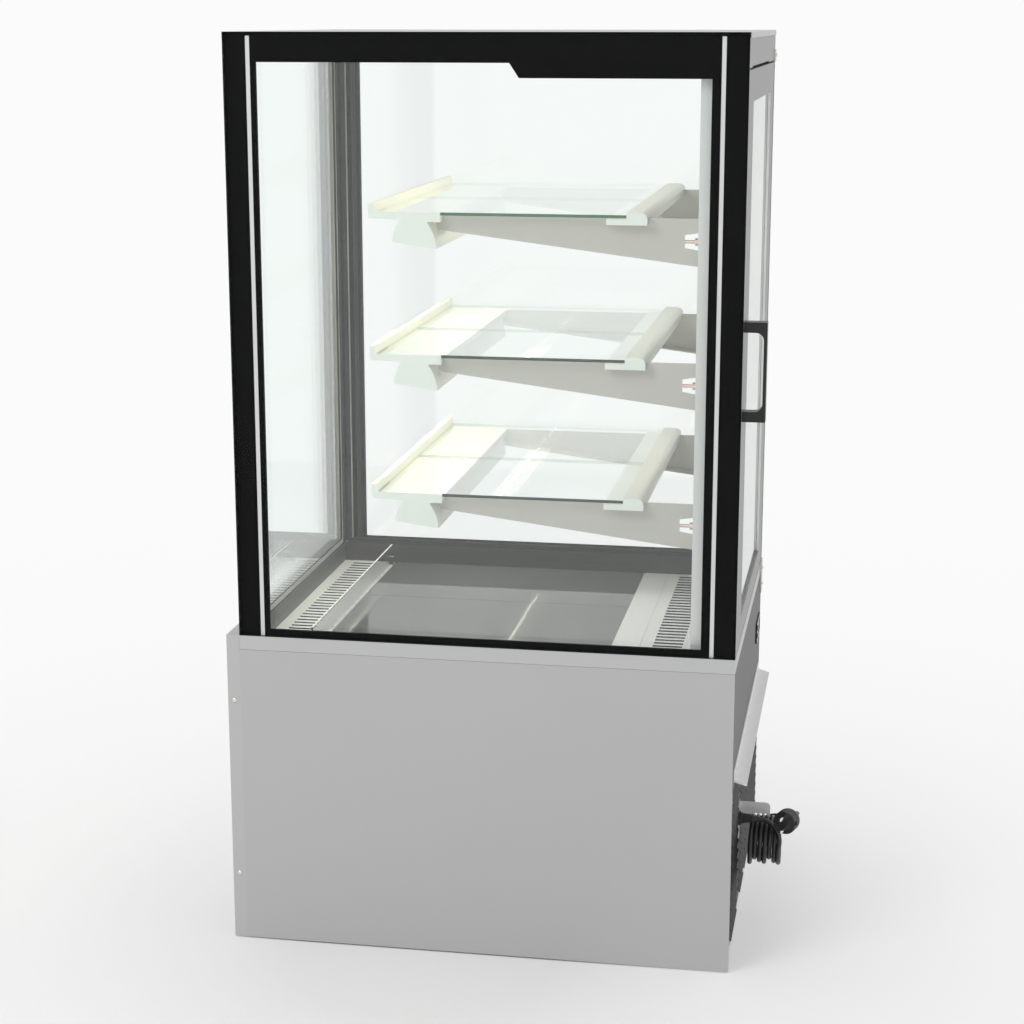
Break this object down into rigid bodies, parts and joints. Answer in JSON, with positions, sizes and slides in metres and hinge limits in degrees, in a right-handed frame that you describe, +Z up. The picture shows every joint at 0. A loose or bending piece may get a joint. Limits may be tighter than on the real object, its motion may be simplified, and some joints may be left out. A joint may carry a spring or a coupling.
{
  "type": "refrigerated display case",
  "caption": "Tall glazed refrigerated display case with lit glass shelves, a slotted display deck, a hinged rear door and a grey base housing the cooling unit.",
  "frame": {"origin": "on the floor, in the middle of the overall length and depth, the cord left out", "axes": "+Z up; -Y towards the customer's glazed front, +Y towards the rear door; X along the case's length"},
  "size_m": [0.6346, 0.8765, 1.404],
  "materials": {
    "base_sheet": "light grey powder-coated steel sheet",
    "rear_sheet": "grey coated steel sheet",
    "hood_sheet": "light grey coated steel sheet",
    "louvre_sheet": "dark grey powder coat, pressed louvres",
    "pan_steel": "galvanised steel",
    "foot": "black polymer pad on a zinc-plated thread",
    "screw": "zinc-plated dome heads",
    "controller": "black polycarbonate bezel with a dark display",
    "insulation": "coated insulated liner",
    "fins": "bare aluminium fins on copper tube",
    "fan_black": "black moulded fan",
    "deck_grille": "satin stainless steel, punched slots",
    "deck_tray": "glossy grey coated sheet",
    "compressor": "black enamelled shell",
    "cord_black": "black flexible sheath",
    "gland": "grey ribbed nylon strain relief",
    "hook": "light grey coated sheet",
    "glass": "clear toughened glass, polished edges",
    "shelf_glass": "clear toughened glass, pale green edges",
    "print": "black ceramic print on the back of the glass",
    "strip": "fine brushed bright strip",
    "spacer": "grey spacer bar",
    "roof_panel": "coated insulated roof panel",
    "roof_sheet": "light grey coated sheet",
    "upright": "light grey powder-coated slotted channel",
    "shelf_profile": "satin lacquered extrusion",
    "shelf_rail": "satin anodised extrusion",
    "cap": "pale greenish-white moulded cap",
    "bracket": "grey coated steel bracket",
    "lamp": "warm white diffuser over a light strip",
    "tilt_screw": "copper-coloured adjusting screw",
    "door_frame": "satin grey anodised section",
    "gasket": "dark grey magnetic seal",
    "handle": "black bow handle",
    "hinge": "copper-coloured plated steel hinge"
  },
  "bodies": {
    "case": {"floor_pan": "pan_steel", "feet": "foot", "corner_posts": "pan_steel", "side_panels": "base_sheet", "front_panel": "base_sheet", "base_rim": "base_sheet", "rear_wall": "rear_sheet", "hood": "hood_sheet", "louvre_panel": "louvre_sheet", "panel_screws": "screw", "controller": "controller", "tank_floor": "insulation", "tank_walls": "insulation", "evaporator": "fins", "fan_plate": "pan_steel", "deck_bearers": "pan_steel", "front_grille": "deck_grille", "rear_grille": "deck_grille", "deflector": "glass", "compressor": "compressor", "condenser": "fins", "gland": "gland", "cord_hook": "hook", "cord_tube": "cord_black", "cord_coil": "cord_black", "plug": "cord_black", "end_panes": "glass", "inner_panes": "glass", "edge_print": "print", "trim_strips": "strip", "spacers": "spacer", "front_panes": "glass", "roof": "roof_panel", "roof_cap": "roof_sheet", "uprights": "upright", "shelf_glass_1": "shelf_glass", "shelf_glass_2": "shelf_glass", "shelf_glass_3": "shelf_glass", "shelf_profile_1": "shelf_profile", "shelf_profile_2": "shelf_profile", "shelf_profile_3": "shelf_profile", "shelf_rails": "shelf_rail", "shelf_caps": "cap", "brackets_1": "bracket", "brackets_2": "bracket", "brackets_3": "bracket", "lamps": "lamp", "tilt_screws": "tilt_screw", "hinges": "hinge"},
    "door": {"door_stiles": "door_frame", "door_rails": "door_frame", "door_glass": "glass", "door_gasket": "gasket", "door_handle": "handle"},
    "evap_fan_1": {"evap_fan_1": "fan_black"},
    "evap_fan_2": {"evap_fan_2": "fan_black"},
    "condenser_fan": {"condenser_fan": "fan_black"},
    "tray_near": {"tray_near": "deck_tray"},
    "tray_far": {"tray_far": "deck_tray"}
  },
  "joints": [
    {"name": "door_hinge", "type": "hinge", "parent": "case", "child": "door", "pos_m": [-0.298, 0.34875, 0.927], "axis": [0, 0, 1], "range_deg": [0, 95]},
    {"name": "evap_fan_1_spin", "type": "hinge", "parent": "case", "child": "evap_fan_1", "pos_m": [-0.13, -0.07575, 0.406], "axis": [0, 1, 0], "continuous": true},
    {"name": "evap_fan_2_spin", "type": "hinge", "parent": "case", "child": "evap_fan_2", "pos_m": [0.13, -0.07575, 0.406], "axis": [0, 1, 0], "continuous": true},
    {"name": "condenser_fan_spin", "type": "hinge", "parent": "case", "child": "condenser_fan", "pos_m": [-0.15, 0.18325, 0.13], "axis": [0, 1, 0], "continuous": true},
    {"name": "tray_near_lift", "type": "slide", "parent": "case", "child": "tray_near", "axis": [0, 0, 1], "range_m": [0, 0.12]},
    {"name": "tray_far_lift", "type": "slide", "parent": "case", "child": "tray_far", "axis": [0, 0, 1], "range_m": [0, 0.12]}
  ]
}
